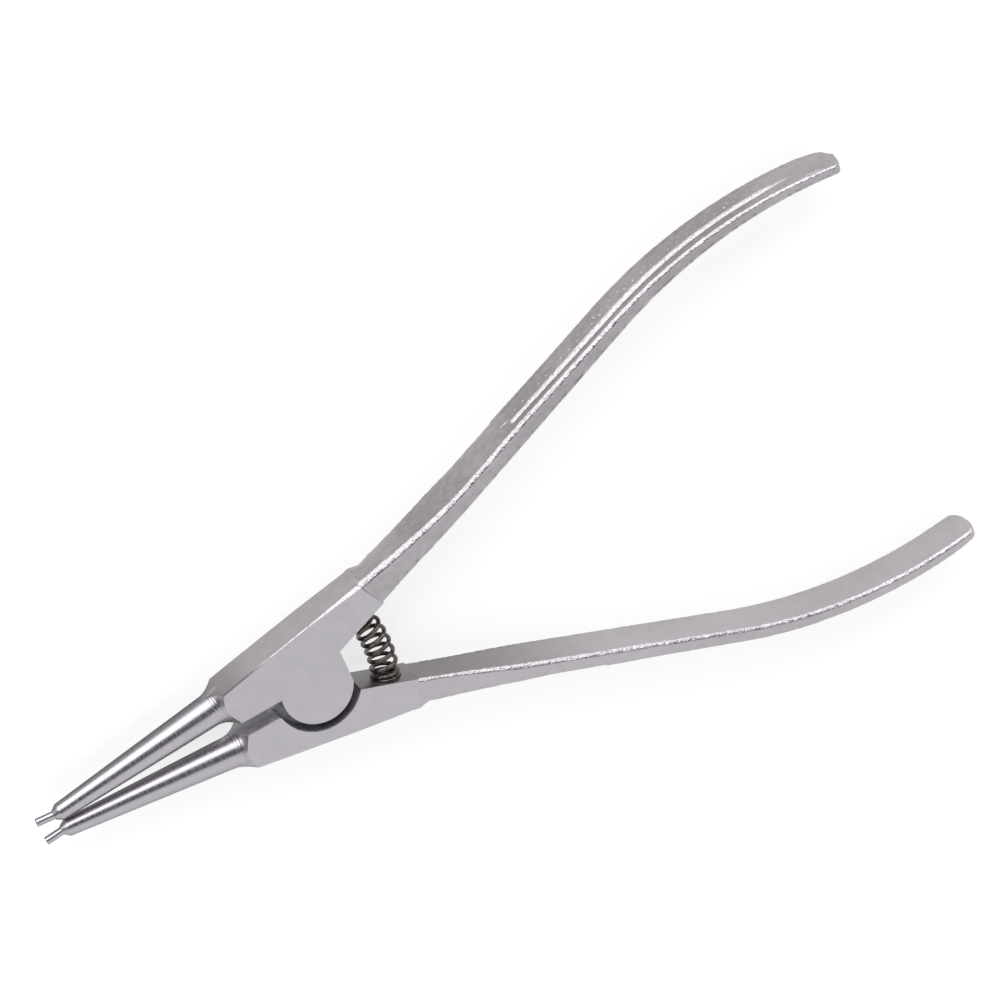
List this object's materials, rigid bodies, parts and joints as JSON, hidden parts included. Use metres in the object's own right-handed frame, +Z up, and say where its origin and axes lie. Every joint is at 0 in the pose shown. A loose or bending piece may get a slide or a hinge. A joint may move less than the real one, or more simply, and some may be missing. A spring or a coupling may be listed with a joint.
{
  "type": "circlip pliers",
  "caption": "External circlip pliers: straight turned noses with tip pins, round lap joint with a flush rivet, bowed forged handles and a coil spring that closes the tips.",
  "frame": {"origin": "on the pivot axis, at the underside of the joint block, where the rivet's lower head is ground flush", "axes": "+X along the pliers from tips to handle ends, +Y towards the front lever's handle, +Z up through the thickness along the pivot axis, towards the face that shows the front lever's lug"},
  "size_m": [0.1799, 0.0846, 0.0102],
  "materials": {
    "plated_forging": "satin nickel-chrome plating: ground flat faces, polished turned noses, rough forged handle walls",
    "plated_rivet": "ground flush and plated with the joint faces",
    "spring_wire": "dark drawn spring wire, lightly oiled"
  },
  "bodies": {
    "rear_half": {"rear_lever": "plated_forging", "pivot_rivet": "plated_rivet", "return_spring": "spring_wire"},
    "front_half": {"front_lever": "plated_forging"}
  },
  "joints": [
    {"name": "squeeze", "type": "hinge", "parent": "rear_half", "child": "front_half", "pos_m": [0, 0, 0.0041], "axis": [0, 0, -1], "range_deg": [0, 24], "stiffness_Nm_per_rad": 0.69, "springref_deg": -8.59, "deforming": ["return_spring"]}
  ]
}
